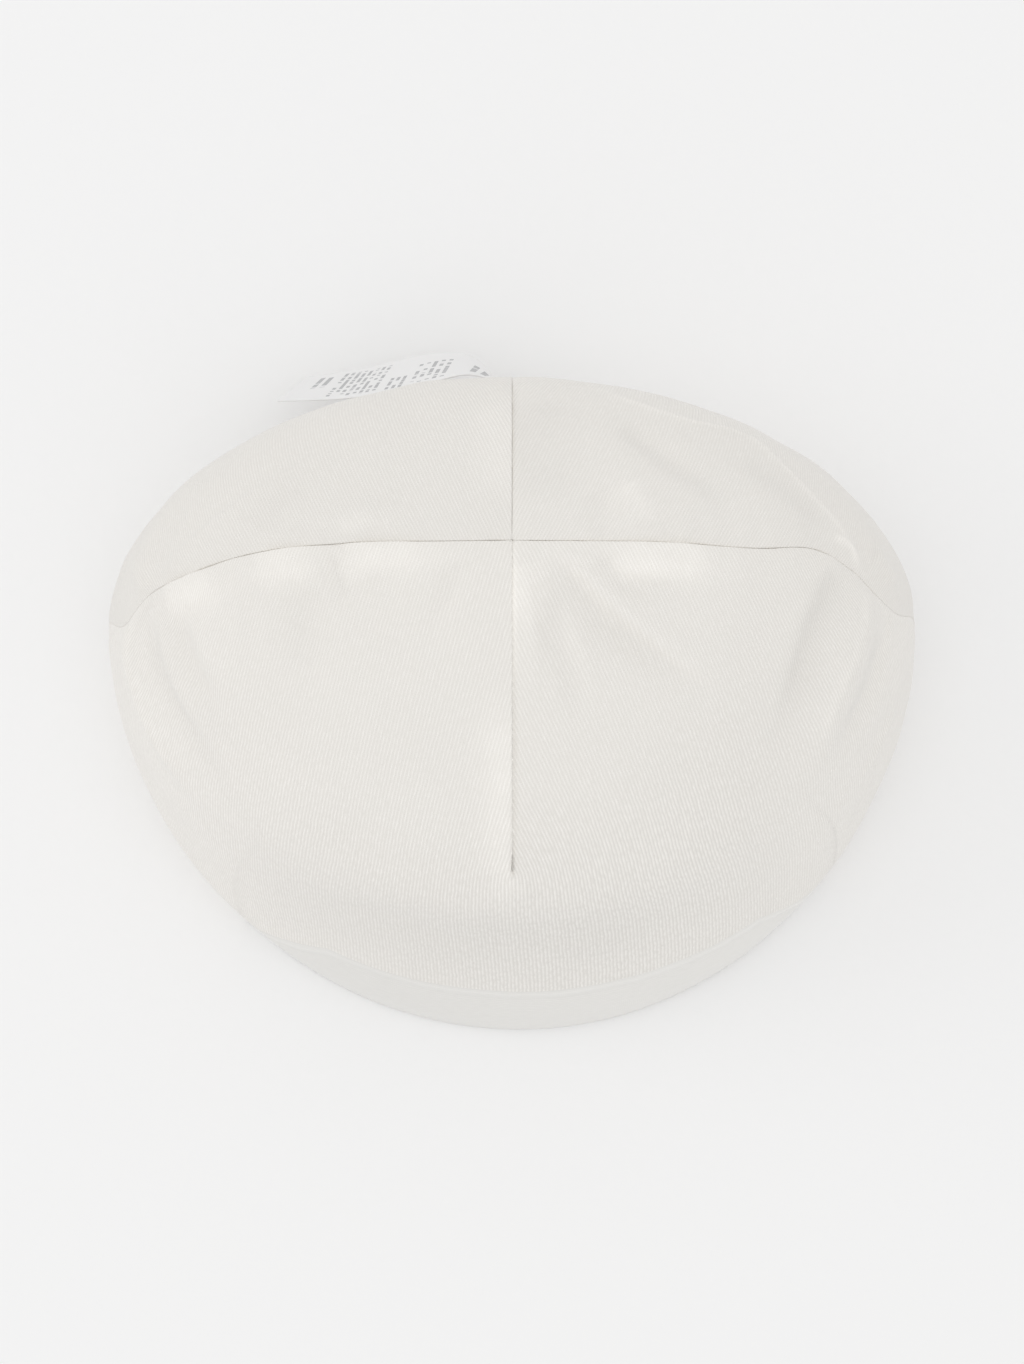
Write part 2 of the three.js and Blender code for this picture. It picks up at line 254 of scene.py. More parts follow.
def add_shell(name, outer, inner, cloth_left, cloth_right=None, split=0, backing_and_painted_light=0.0, pull_and_rib_shade=0.0):
    """A closed piece from two grids of points, rows running up and columns anticlockwise seen from above.
    The grids meet along their edges. The cloth grids give each corner's place on the flat cloth, in
    millimetres; faces before the column called split use the left one, and the others the right one.
    backing_and_painted_light says where more cloth lies close behind the outer face and where light or
    shade is painted on it, and pull_and_rib_shade where the outer face is drawn tight and the painted shade
    between the ribs grows, from 0 to 1."""
    cloth_right = cloth_left if cloth_right is None else cloth_right
    rows, columns = outer.shape[:2]
    i, j = np.meshgrid(np.arange(rows - 1), np.arange(columns - 1), indexing="ij")
    corner_rows = np.stack([i, i, i + 1, i + 1], axis=-1).reshape(-1, 4)
    corner_columns = np.stack([j, j + 1, j + 1, j], axis=-1).reshape(-1, 4)
    quads = corner_rows * columns + corner_columns
    flat = np.where(
        (j.reshape(-1) < split)[:, None, None],
        cloth_left[corner_rows, corner_columns],
        cloth_right[corner_rows, corner_columns],
    )
    points = np.concatenate([outer.reshape(-1, 3), inner.reshape(-1, 3)]) * MM + np.array(EAR_LINE)
    faces = np.concatenate([quads, quads[:, ::-1] + rows * columns])
    mesh = bpy.data.meshes.new(name)
    mesh.from_pydata(points.tolist(), [], faces.tolist())
    layer = mesh.uv_layers.new(name="cloth")
    layer.data.foreach_set("uv", np.concatenate([flat, flat[:, ::-1]]).astype(np.float32).ravel())
    for attribute, amount in (("backing_and_painted_light", backing_and_painted_light), ("pull_and_rib_shade", pull_and_rib_shade)):
        both_faces = np.zeros((2, rows, columns), dtype=np.float32)
        both_faces[0] = amount
        mesh.attributes.new(attribute, "FLOAT", "POINT").data.foreach_set("value", both_faces.ravel())
    form = bmesh.new()
    form.from_mesh(mesh)
    bmesh.ops.remove_doubles(form, verts=form.verts, dist=2e-6)
    form.to_mesh(mesh)
    form.free()
    mesh.shade_smooth()
    piece = bpy.data.objects.new(name, mesh)
    bpy.context.scene.collection.objects.link(piece)
    return piece


# Where the band takes over from the front panel's edge: angles, the stretch over which it rounds off, and how
# many millimetres it stands back from the panel.
BAND = {"from": -134 * DEG, "to": -37 * DEG, "round": 16 * DEG, "inset": 0.4}


def front_edge(angle):
    """The panel's lower edge: at the hem ring over the band, down at the rim elsewhere, and between them
    the hem times the square root of the share of the rounding stretch."""
    from_end = np.minimum(angle - BAND["from"], BAND["to"] - angle)
    return HEM * np.sqrt(np.clip(from_end / BAND["round"], 0, 1))


# The dart: the y where it ends, how far along the cloth from the crown the wedge that it takes up comes to a
# point, and the wedge's angle on each side.
DART = {"tip": -62.2, "length": 75.0, "left": 13 * DEG, "right": 20 * DEG}
SPREAD = 0.87  # how much of its plan angle a doming panel takes up when it is laid flat

ENDS = 0.15  # what is left of a fold's height at its two ends

LEFT_VALLEY = (
    (-176, 0.572), (-169, 0.568), (-164, 0.564), (-158, 0.568), (-152, 0.572), (-147, 0.564), (-142, 0.554),
    (-138, 0.544),
)

# name, width to the left and to the right of its way in mm, lift in mm, places as (angle, up)
FRONT_FOLDS = (
    ("right corner border", 2.5, 8, 0.9, (
        (1, 0.672), (-8, 0.7), (-16, 0.708), (-24, 0.706), (-31, 0.692), (-36, 0.676),
    )),
    ("right corner valley", 3.5, 3, -1.3, (
        (0, 0.648), (-7, 0.672), (-15, 0.682), (-22, 0.682), (-29, 0.668), (-34, 0.654),
    )),
    ("right ridge", 6, 7, 2.6, (
        (-1, 0.602), (-7, 0.608), (-19, 0.611), (-28, 0.605), (-33, 0.584), (-38, 0.56),
    )),
    ("right low valley", 4, 3, -1.2, ((-8, 0.54), (-13, 0.54), (-19, 0.54), (-25, 0.545), (-30, 0.53))),
    ("right low edge", 1.2, 2.5, 0.7, ((-16, 0.388), (-21, 0.406), (-26, 0.404), (-31, 0.39))),
    ("left roll", 5, 5, 2.2, ((-178, 0.52), (-170, 0.49), (-161, 0.48), (-151, 0.48), (-142, 0.47))),
    ("left valley", 4, 3.5, -1.3, LEFT_VALLEY),
    ("left inner ridge", 3, 2, 1, ((-173, 0.602), (-168, 0.6), (-162, 0.596), (-154, 0.59), (-147, 0.59))),
    ("left inner valley", 3, 2.5, -1.2, (
        (-173, 0.624), (-166, 0.634), (-160, 0.634), (-154, 0.636), (-147, 0.624),
    )),
    ("left plateau edge", 6, 3, 1.3, ((-172, 0.66), (-164, 0.668), (-156, 0.668), (-148, 0.655))),
    ("left light streak", 1, 1.4, 0.4, ((-170, 0.742), (-164, 0.73), (-160, 0.72), (-155, 0.71))),
    ("crown crease", 1.8, 5, -1.4, (
        (-34, 0.956), (-44, 0.924), (-48, 0.898), (-48, 0.878), (-45, 0.818), (-42, 0.764),
    )),
    ("crown ridge", 3.5, 1.6, 1.3, (
        (-21, 0.952), (-31, 0.924), (-40, 0.892), (-41, 0.84), (-39, 0.778), (-37, 0.746),
    )),
    ("second crease", 3.5, 2.5, -0.8, ((-43, 0.954), (-70, 0.9), (-72, 0.85), (-74, 0.806))),
    ("second ridge", 2, 1.6, 0.5, ((-60, 0.9), (-63, 0.882), (-65, 0.858), (-66, 0.816))),
    ("bank right of the dart", 2, 3.5, 0.9, ((-65, 0.97), (-78, 0.94), (-81, 0.89), (-83, 0.83))),
    ("right puff", 3, 5.5, 0.9, ((0, 0.925), (0, 0.89), (0, 0.855), (0, 0.825))),
    ("crease below it", 2, 3, -1.2, ((-11, 0.924), (-20, 0.914), (-26, 0.898), (-23, 0.874), (-17, 0.842))),
    ("left puff", 3, 4.5, 0.9, ((-180, 0.775), (-180, 0.81), (-180, 0.84))),
    ("crease below the left puff", 1.8, 4, -0.7, ((-174, 0.77), (-168, 0.795), (-164, 0.82))),
    ("left crown puff", 3, 5.5, 0.9, ((-180, 0.865), (-180, 0.89), (-180, 0.92))),
    ("crease below the crown puff", 2, 4, -0.6, ((-158, 0.855), (-156, 0.88), (-159, 0.91))),
    ("left corner puff", 3, 5, 0.9, ((-180, 0.6), (-180, 0.65), (-180, 0.71))),
    ("crease below the corner puff", 1.6, 3, -0.7, ((-174, 0.625), (-170, 0.67), (-172, 0.71))),
    ("tuck", 1.4, 2.2, -1.5, ((-180, 0.86), (-171, 0.855), (-161, 0.855), (-153, 0.845))),
    ("valley below the tuck", 5, 5, -1.6, ((-167, 0.825), (-154, 0.8), (-142, 0.77))),
    ("left streak", 2, 2.5, -0.9, ((-152, 0.94), (-136, 0.93), (-128, 0.91), (-123, 0.89))),
    ("dart's tip", 1.6, 2.4, 0.8, ((-88.5, 0.592), (-88, 0.577), (-87.5, 0.56))),
    ("brow edge", 12, 5, 0.6, ((-134, 0.415), (-112, 0.51), (-90, 0.545), (-70, 0.525), (-52, 0.475))),
)

# Where a seam allowance or the inner layer lies close behind the cloth and whitens it, with painted light on
# the ridges and puffs and, below nought, painted shade in the valleys and creases, to the left and to the
# right of the dart: rows like those of the folds.
FRONT_BACKING_AND_PAINTED_LIGHT = {
    -1: (
        ("below the ear seam, by the crown", 7, 3.6, 0.9, (
            (-170, 0.86), (-168, 0.888), (-167, 0.91), (-165, 0.938),
        )),
        ("below the ear seam, at the slope", 7, 3.6, 0.9, (
            (-175, 0.76), (-174, 0.79), (-173, 0.812), (-172, 0.838),
        )),
        ("below the ear seam, at the corner", 7, 3.4, 0.9, (
            (-175, 0.61), (-174, 0.65), (-173, 0.684), (-174, 0.715),
        )),
        ("beside the dart", 8, 4.5, 0.8, ((-93, 0.83), (-92, 0.758), (-92, 0.692), (-91, 0.6), (-91, 0.545))),
        ("roll crease", 1.2, 1, -0.4, (
            (-177, 0.6), (-175, 0.568), (-172, 0.532), (-167, 0.51), (-162, 0.524),
        )),
        ("left valley", 4, 4, -0.5, LEFT_VALLEY),
        ("left inner valley", 4, 3, -0.3, (
            (-176, 0.606), (-170, 0.62), (-162, 0.622), (-154, 0.622), (-148, 0.622), (-144, 0.63),
            (-138, 0.62),
        )),
        ("valley below the tuck", 5, 5, -0.25, ((-167, 0.825), (-154, 0.8), (-142, 0.77))),
    ),
    1: (
        ("below the ear seam", 7, 3.6, 1.1, (
            (-17, 0.918), (-14, 0.894), (-11, 0.874), (-9, 0.85), (-7, 0.816),
        )),
        ("beside the dart", 4, 8, 0.7, ((-59, 0.968), (-75, 0.944), (-81, 0.922), (-83, 0.895))),
        ("right corner valley", 6, 2, -0.75, (
            (0, 0.66), (-5, 0.684), (-15, 0.698), (-22, 0.69), (-29, 0.68), (-38, 0.66),
        )),
        ("right ridge", 0.9, 1.6, 0.5, ((-2, 0.6), (-7, 0.612), (-19, 0.618), (-28, 0.611), (-34, 0.585))),
        ("right low valley", 7, 2, -0.5, ((-8, 0.574), (-13, 0.574), (-19, 0.57), (-26, 0.57), (-32, 0.56))),
        ("crown ridge", 3.5, 1.5, 0.25, (
            (-21, 0.952), (-31, 0.924), (-40, 0.892), (-41, 0.84), (-39, 0.778), (-37, 0.746),
        )),
        ("crown crease", 0.9, 5, -0.5, (
            (-34, 0.956), (-44, 0.924), (-48, 0.898), (-48, 0.878), (-45, 0.818), (-42, 0.764),
        )),
        ("second crease", 2, 3, -0.35, ((-60, 0.93), (-70, 0.9), (-72, 0.85), (-74, 0.806))),
        ("crease below the puff", 1.5, 2.5, -0.3, (
            (-11, 0.924), (-20, 0.914), (-26, 0.898), (-23, 0.874), (-17, 0.842),
        )),
    ),
}

# Painted shade over the brow, darker where the cloth turns down towards the front.
BROW_PAINTED_SHADE = (
    ("brow", 13, 26, -0.68, (
        (-144, 0.38), (-128, 0.42), (-112, 0.45), (-98, 0.465), (-80, 0.46), (-66, 0.445), (-48, 0.4),
    )),
)

share = shares(289, (0, 0.5, 1))
rise = shares(145, (0,))[:-1, None]
up = front_edge(-np.pi + np.pi * share) * (1 - rise) ** 2.5 + rise  # rows level out above the band
to_right, to_left = np.clip(2 * share - 1, 0, 1), np.clip(1 - 2 * share, 0, 1)
angle = -np.pi / 2 + (ear_seam(1, up) + np.pi / 2) * to_right - (3 * np.pi / 2 - ear_seam(-1, up)) * to_left
base = smooth_cap(angle, up)
normals = outward(angle, up)
length = column_lengths(base)
from_crown = length[-1] - length
from_ears = np.minimum(
    np.linalg.norm(base - smooth_cap(ear_seam(1, up), up), axis=-1),
    np.linalg.norm(base - smooth_cap(ear_seam(-1, up), up), axis=-1),
)
from_dart = np.linalg.norm(base - smooth_cap(-np.pi / 2, up), axis=-1)
above_tip = smoothstep(base[..., 1], DART["tip"] - 1, DART["tip"] + 1.5)

along_ears = np.sign(base[..., 0]) * from_crown
lift = line_sum(base, normals, FRONT_FOLDS)
lift += unevenness(base, wavelength=26, height=0.35, seed=3)
lift += unevenness(base, wavelength=9, height=0.08, seed=4)
lift += gathers(along_ears, from_ears, reach=7, height=0.3, seed=5)
lift += gathers(base[..., 1], from_dart, reach=6, height=0.12, seed=6) * above_tip
lift = lift * level_by_seam(from_ears, up) - 0.3 * bell(from_ears, 1.2) * smoothstep(up, 0.58, 0.64)
left_bank = 0.6 * bell(from_dart, 7) * smoothstep(-base[..., 1], 5, 40) * (share <= 0.5)
lift += (left_bank - 0.3 * bell(from_dart, 1.2) * (share > 0.5)) * above_tip
lift *= smoothstep(up, 0, HEM)
# The cloth is whiter where an allowance touches it; painted light brightens the side walls, ridges and puffs,
# painted shade darkens the valleys and creases, and a painted highlight runs along the dart's right edge
# where it rolls up by the crown.
backing_and_painted_light_rows = [line_sum(base, normals, FRONT_BACKING_AND_PAINTED_LIGHT[side], fade_in=0.2, fade_out=0.35) for side in (-1, 1)]
backing_and_painted_light = 0.12 + 0.3 * smoothstep(np.abs(base[..., 0]), 50, 70) + np.where(share <= 0.5, *backing_and_painted_light_rows)
backing_and_painted_light += line_sum(base, normals, BROW_PAINTED_SHADE, fade_in=0.4, fade_out=0.4)
by_crown = smoothstep(base[..., 1], CROWN_EAR - 36, CROWN_EAR - 26)
# Painted highlight along the dart's right edge by the crown.
backing_and_painted_light += 0.8 * bell(from_dart - 0.5, 0.5) * by_crown * (share > 0.5)
backing_and_painted_light = backing_and_painted_light * (0.9 + unevenness(base, wavelength=7, height=0.2, seed=41))
dart_turn = 0.04 + 0.2 * smoothstep(-base[..., 1], 15, 55) + 0.5 * bell(base[..., 1] - DART["tip"] - 1, 4)
crease = pressed_seam(from_dart, dart_turn) * above_tip
sink = np.maximum(pressed_seam(from_ears, seam_turn(along_ears, up, 7)), pressed_seam(length, 0.12))
sink = to_mid_wall(np.maximum(sink, crease), "bottom left right")
outer = base + normals * (lift - sink)[..., None]
inner = base + normals * (lift - WALL + sink)[..., None]


def front_cloth(side):
    """Where each point was on the flat cloth. By the crown, the length from it and the plan angle, times
    SPREAD, are polar coordinates. Further down the columns hang straight, so there the cloth is measured
    along the rows, from the dart's line, and down from the crown. The polar angle about the dart's tip is
    then squeezed to leave out the wedge that the dart takes up on that side."""
    plan = SPREAD * np.arctan2(base[..., 0], CROWN_EAR - base[..., 1])
    x = from_crown * np.sin(plan) + (SPREAD * along_rows - from_crown * np.sin(plan)) * hanging
    y = DART["length"] - from_crown * (np.cos(plan) + (1 - np.cos(plan)) * hanging)
    wedge = np.where(side > 0, DART["right"], DART["left"])
    turn = side * (wedge + np.abs(np.arctan2(x, y)) * (1 - wedge / np.pi))
    reach = np.hypot(x, y)
    return np.stack([reach * np.sin(turn), reach * np.cos(turn)], axis=-1)


middle = int(np.argmin(np.abs(share - 0.5)))
steps = np.linalg.norm(np.diff(base, axis=1), axis=-1)
along_rows = np.concatenate([np.zeros((len(base), 1)), np.cumsum(steps, axis=1)], axis=1)
along_rows -= along_rows[:, middle : middle + 1]
hanging = smoothstep(from_crown, 45, 100)
left_cloth = front_cloth(np.where(np.arange(len(share)) <= middle, -1, 1))
right_cloth = front_cloth(np.where(np.arange(len(share)) < middle, -1, 1))
half_gap = np.array([0, SEAM_SLIT / 2, 0])
# Drawn over the brow the ribs part, and the painted shade between them grows, most of all to the right of
# the dart.
pull_and_rib_shade = smoothstep(from_crown, 45, 90) * (0.5 + 0.5 * smoothstep(base[..., 0], -30, 10))
pull_and_rib_shade *= 1 - 0.75 * smoothstep(base[..., 0], 38, 62)
front_panel = add_shell(
    "front_panel_jersey", outer - half_gap, inner - half_gap, left_cloth, right_cloth, middle, backing_and_painted_light, pull_and_rib_shade
)


def node(tree, kind, inputs, **settings):
    """Adds a shader node; inputs gives values, or the sockets to link, by the input's place or name."""
    new = tree.nodes.new(kind)
    for key, value in settings.items():
        setattr(new, key, value)
    for key, value in inputs.items():
        if isinstance(value, bpy.types.NodeSocket):
            tree.links.new(value, new.inputs[key])
        else:
            new.inputs[key].default_value = value
    return new


def math(tree, operation, first, second=0.0, third=0.0):
    """One Math node's result."""
    return node(tree, "ShaderNodeMath", {0: first, 1: second, 2: third}, operation=operation).outputs[0]


def knit_group():
    """Fine single jersey seen from its right side. Each column of loops is a soft rib, the legs of the loops
    make a small V in every course, and thicker and thinner yarn makes the ribs come and go. The columns
    wander by up to 0.35 of their width. The height is 0.7 of the rib and 0.3 of the loop, times the
    yarn's strength, and the tone is 0.8 of the height, which paints shade into the grooves between ribs and
    loops, 0.12 of soft clouds and 0.08 of fine fluff, the yarn's own tone."""
    tree = bpy.data.node_groups.new("jersey_knit", "ShaderNodeTree")
    sockets = (
        ("Cloth", "INPUT", "NodeSocketVector"),
        ("Column", "INPUT", "NodeSocketFloat"),
        ("Course", "INPUT", "NodeSocketFloat"),
        ("Height", "OUTPUT", "NodeSocketFloat"),
        ("Rib shade and tone", "OUTPUT", "NodeSocketFloat"),
    )
    for name, in_out, kind in sockets:
        tree.interface.new_socket(name, in_out=in_out, socket_type=kind)
    given = tree.nodes.new("NodeGroupInput").outputs
    place = node(tree, "ShaderNodeSeparateXYZ", {0: given["Cloth"]}).outputs
    wander = {"Vector": given["Cloth"], "Scale": 0.3, "Detail": 3.0, "Roughness": 0.7}
    stray = node(tree, "ShaderNodeTexNoise", wander).outputs["Fac"]
    stray = math(tree, "MULTIPLY_ADD", stray, 0.7, -0.35)
    column = math(tree, "ADD", math(tree, "DIVIDE", place["X"], given["Column"]), stray)
    side = math(tree, "ABSOLUTE", math(tree, "SUBTRACT", math(tree, "FRACT", column), 0.5))
    rib = math(tree, "MULTIPLY_ADD", math(tree, "COSINE", math(tree, "MULTIPLY", side, 2 * np.pi)), 0.5, 0.5)
    course = math(tree, "ADD", math(tree, "DIVIDE", place["Y"], given["Course"]), side)
    loop = math(tree, "COSINE", math(tree, "MULTIPLY", course, 2 * np.pi))
    loop = math(tree, "MULTIPLY_ADD", loop, 0.5, 0.5)
    drawn = node(tree, "ShaderNodeCombineXYZ", {0: math(tree, "MULTIPLY", place["X"], 2.5), 1: place["Y"]})
    thickness = {"Vector": drawn.outputs[0], "Scale": 0.5, "Detail": 3.0, "Roughness": 0.6}
    yarn = node(tree, "ShaderNodeTexNoise", thickness)
    strength = node(
        tree,
        "ShaderNodeMapRange",
        {"Value": yarn.outputs["Fac"], "From Min": 0.3, "From Max": 0.7, "To Min": 0.3, "To Max": 1.2},
    ).outputs["Result"]
    height = math(tree, "MULTIPLY_ADD", loop, 0.3, math(tree, "MULTIPLY", rib, 0.7))
    height = math(tree, "MULTIPLY", height, strength)
    cloudy = node(tree, "ShaderNodeTexNoise", {"Vector": given["Cloth"], "Scale": 0.05, "Detail": 4.0})
    fluff = node(tree, "ShaderNodeTexNoise", {"Vector": given["Cloth"], "Scale": 2.6, "Detail": 2.0})
    # Painted shade between the ribs and loops, with the yarn's own clouds and fluff.
    tone = math(tree, "MULTIPLY_ADD", height, 0.8, math(tree, "MULTIPLY", cloudy.outputs["Fac"], 0.12))
    tone = math(tree, "MULTIPLY_ADD", fluff.outputs["Fac"], 0.08, tone)
    put = tree.nodes.new("NodeGroupOutput").inputs
    tree.links.new(height, put["Height"])
    tree.links.new(tone, put["Rib shade and tone"])
    return tree


KNIT = knit_group()


COLUMN = 0.66  # millimetres of laid-out cloth from one column to the next, COLUMN / SPREAD on a doming panel
COURSE = 0.72 * COLUMN  # and from one course to the next
BACKING_AND_PAINTED_LIGHT_GAIN = 0.085  # how much whiter the cloth looks where backing_and_painted_light is 1: cloth behind it, and painted light
MIDDLE_TONE = 0.4


def jersey(name, light, dark, bump):
    """Cotton jersey. The knit's tone runs from dark, painted shade between the ribs, to light. Its distance
    from the middle tone is 0.9 + 1.1 * pull_and_rib_shade times as large, so the painted shade between the
    ribs is stronger where the cloth is drawn tight. The knit's height is a bump, and the colour is
    1 + BACKING_AND_PAINTED_LIGHT_GAIN * backing_and_painted_light times as bright: whiter where cloth lies
    behind it, and painted light and shade on the folds, sides and brow."""
    material = bpy.data.materials.new(name)
    material.use_nodes = True
    tree = material.node_tree
    shader = tree.nodes["Principled BSDF"]
    shader.inputs["Roughness"].default_value = 0.92
    shader.inputs["Specular IOR Level"].default_value = 0.25
    shader.inputs["Sheen Weight"].default_value = 0.3
    shader.inputs["Sheen Roughness"].default_value = 0.4
    cloth = node(tree, "ShaderNodeUVMap", {}, uv_map="cloth").outputs["UV"]
    knit = node(tree, "ShaderNodeGroup", {}, node_tree=KNIT)
    tree.links.new(cloth, knit.inputs["Cloth"])
    knit.inputs["Column"].default_value = COLUMN
    knit.inputs["Course"].default_value = COURSE
    pull_and_rib_shade = node(tree, "ShaderNodeAttribute", {}, attribute_name="pull_and_rib_shade").outputs["Fac"]
    contrast = math(tree, "MULTIPLY_ADD", pull_and_rib_shade, 1.1, 0.9)
    from_middle = math(tree, "SUBTRACT", knit.outputs["Rib shade and tone"], MIDDLE_TONE)
    tone = math(tree, "MULTIPLY_ADD", from_middle, contrast, MIDDLE_TONE)
    colour = node(
        tree,
        "ShaderNodeMix",
        {"Factor": tone, "A": (*dark, 1), "B": (*light, 1)},
        data_type="RGBA",
    )
    # Whiter where cloth lies behind, with painted light and painted shade carried by the same attribute.
    backing_and_painted_light_value = node(tree, "ShaderNodeAttribute", {}, attribute_name="backing_and_painted_light").outputs["Fac"]
    whiter = math(tree, "MULTIPLY_ADD", backing_and_painted_light_value, BACKING_AND_PAINTED_LIGHT_GAIN, 1.0)
    scaled = {0: colour.outputs["Result"], "Scale": whiter}
    colour = node(tree, "ShaderNodeVectorMath", scaled, operation="SCALE")
    tree.links.new(colour.outputs["Vector"], shader.inputs["Base Color"])
    ribs = {"Strength": bump, "Distance": 0.12 * MM, "Height": knit.outputs["Height"]}
    height = node(tree, "ShaderNodeBump", ribs)
    tree.links.new(height.outputs["Normal"], shader.inputs["Normal"])
    return material


JERSEY = jersey("jersey", light=(0.97, 0.945, 0.904), dark=(0.8, 0.775, 0.733), bump=0.8)
front_panel.data.materials.append(JERSEY)
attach(front_panel, "root")
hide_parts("front_panel")

# ---------------------------------------------------------------------------------------------------------
# The back panels. Two mirrored pieces of the same doubled jersey, each from the ear seam to the centre back
# seam, with the knit's columns running up and outwards from that seam. The ear seam's allowances lie towards
# the back and the crown's shoulder shows through them as a soft edge, with a painted highlight along it.

RIGHT_SHOULDER = (
    (76, 0.6), (69, 0.652), (58, 0.665), (47, 0.622), (36, 0.648), (25, 0.654), (14, 0.637), (5, 0.62),
)

# name, width to the left and to the right of its way in mm, lift in mm, places as (angle, up)
BACK_FOLDS = {
    1: (
        ("right shoulder edge", 1.6, 2.5, 0.6, RIGHT_SHOULDER),
        ("hollow above the shoulder", 3, 3, -0.7, (
            (40, 0.71), (34, 0.7), (26, 0.69), (19, 0.68), (12, 0.68),
        )),
        ("back right puff", 3, 3, 1.3, ((47, 0.868), (30, 0.885), (8, 0.89))),
        ("hollow by the seams", 2.5, 3, -0.9, ((50, 0.89), (29, 0.914), (3, 0.926))),
        ("back right hollow", 3, 3, -1.4, ((66, 0.74), (60, 0.768), (46, 0.798), (36, 0.8), (20, 0.8))),
        ("corner lip", 1.5, 2, 1.0, ((10.5, 0.66), (9.5, 0.646), (7, 0.632), (2, 0.622))),
        ("corner puff", 3.5, 3.5, 1.4, ((9, 0.57), (5, 0.55), (2, 0.5))),
    ),
    -1: (
        ("left shoulder edge", 1.6, 7, 0.9, (
            (178, 0.625), (170, 0.68), (157, 0.725), (142, 0.75), (122, 0.755),
        )),
        ("back left hollow", 4, 4, -1.0, ((172, 0.77), (158, 0.77), (150, 0.8))),
        ("back left puff", 3, 4, 1.3, ((174, 0.835), (165, 0.87), (153, 0.885))),
        ("left corner puff", 3, 4, 1.2, ((172, 0.53), (176, 0.56), (178, 0.59))),
    ),
}
# Where an allowance lies close behind the cloth and whitens it, with painted light on the shoulder edge,
# lip and puffs and painted shade in the hollows, as for the front panel.
BACK_BACKING_AND_PAINTED_LIGHT = {
    1: (
        ("shoulder edge", 0.9, 0.9, 0.9, RIGHT_SHOULDER),
        ("corner lip", 1, 1, 1.1, ((10.5, 0.66), (9.5, 0.646), (7, 0.632), (2, 0.622))),
        ("puff", 2.5, 2.5, 0.7, ((45, 0.868), (32, 0.88), (12, 0.885))),
        ("beside the centre seam", 12, 3, -0.5, ((89, 0.7), (87, 0.8), (85, 0.87), (80, 0.94))),
        ("back right hollow", 3, 3, -0.35, ((66, 0.74), (60, 0.768), (46, 0.798), (36, 0.8), (20, 0.8))),
        ("hollow above the shoulder", 3.5, 3.5, -0.35, (
            (40, 0.71), (34, 0.7), (26, 0.69), (19, 0.68), (12, 0.68),
        )),
    ),
    -1: (
        ("beside the centre seam", 8, 4.5, 0.35, ((94, 0.7), (95, 0.8), (97, 0.87), (101, 0.93))),
        ("puff", 2.5, 2.5, 0.5, ((173, 0.86), (165, 0.875), (161, 0.9))),
        ("hollow", 4, 4, -0.3, ((172, 0.77), (158, 0.77), (150, 0.8))),
    ),
}
BACK_TILT = {1: 22 * DEG, -1: 20 * DEG}  # of the knit's columns against the centre back seam

for side, word in ((1, "right"), (-1, "left")):
    share, rise = shares(165, (0, 1)), shares(171, (0,))[:-1, None]
    up = np.broadcast_to(rise, (len(rise), len(share)))
    start, end = (ear_seam(1, up), np.pi / 2) if side > 0 else (np.pi / 2, ear_seam(-1, up))
    angle = start * (1 - share) + end * share
    base = smooth_cap(angle, up)
    normals = outward(angle, up)
    length = column_lengths(base)
    from_crown = length[-1] - length
    from_ear = np.linalg.norm(base - smooth_cap(ear_seam(side, up), up), axis=-1)
    from_middle = np.linalg.norm(base - smooth_cap(np.pi / 2, up), axis=-1)
    lift = line_sum(base, normals, BACK_FOLDS[side])
    lift += unevenness(base, wavelength=22, height=0.35, seed=13)
    lift += unevenness(base, wavelength=9, height=0.08, seed=14)
    lift += gathers(from_crown, from_ear, reach=7, height=0.22, seed=15 + side)
    lift += gathers(from_crown, from_middle, reach=6, height=0.12, seed=18 + side)
    lift = lift * level_by_seam(from_ear, up) - 0.4 * bell(from_ear, 1.6) * smoothstep(up, 0.58, 0.64)
    centre_bank = 0.45 * bell(from_middle, 6) * smoothstep(up, 0.6, 0.72) * smoothstep(-up, -0.97, -0.85)
    lift += centre_bank if side < 0 else -0.15 * bell(from_middle, 1.2)  # the allowances lie to the left
    # Whiter where an allowance lies behind, with painted light on the ridges and painted shade in the
    # hollows.
    backing_and_painted_light = line_sum(base, normals, BACK_BACKING_AND_PAINTED_LIGHT[side], fade_in=0.2, fade_out=0.2)
    backing_and_painted_light = backing_and_painted_light * (0.9 + unevenness(base, wavelength=7, height=0.2, seed=42))
    backing_and_painted_light -= 0.2 if side < 0 else 0.0  # the left back panel is a little darker all over
    lift *= smoothstep(up, 0, HEM)
    sink = np.maximum(
        pressed_seam(from_ear, seam_turn(side * from_crown, up, 7)),
        pressed_seam(from_middle, 0.6 * seam_turn(side * from_crown, up, 7)),
    )
    sink = to_mid_wall(np.maximum(sink, turned_edge(length, 0.6)), "left right")
    apart = np.array([side * SEAM_SLIT / 2, SEAM_SLIT / 2, 0])
    outer = base + normals * (lift - sink)[..., None] + apart
    inner = base + normals * (lift - WALL + sink)[..., None] + apart
    plan = SPREAD * np.abs(np.arctan2(base[..., 0], base[..., 1] - CROWN_EAR)) - BACK_TILT[side]
    cloth = np.stack([side * from_crown * np.sin(plan), from_crown * np.cos(plan)], axis=-1)
    back_panel = add_shell(f"back_panel_{word}_jersey", outer, inner, cloth, backing_and_painted_light=backing_and_painted_light)
    back_panel.data.materials.append(JERSEY)
    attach(back_panel, "root")
    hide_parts(f"back_panel_{word}")

# ---------------------------------------------------------------------------------------------------------
# The brow band. A crescent of the same jersey with its columns along the brow, sewn under the front panel
# and turned in at the rim. It stands a little back from the panel, and a soft crease runs along it where the
# seam allowances end behind it.

# How far each soft line along the band stands out, how far it runs below the top edge, and its width, in mm.
BAND_LINES = ((-BAND["inset"], 0, 6), (-0.35, 4.5, 1.2), (0.3, 2.2, 1.6))

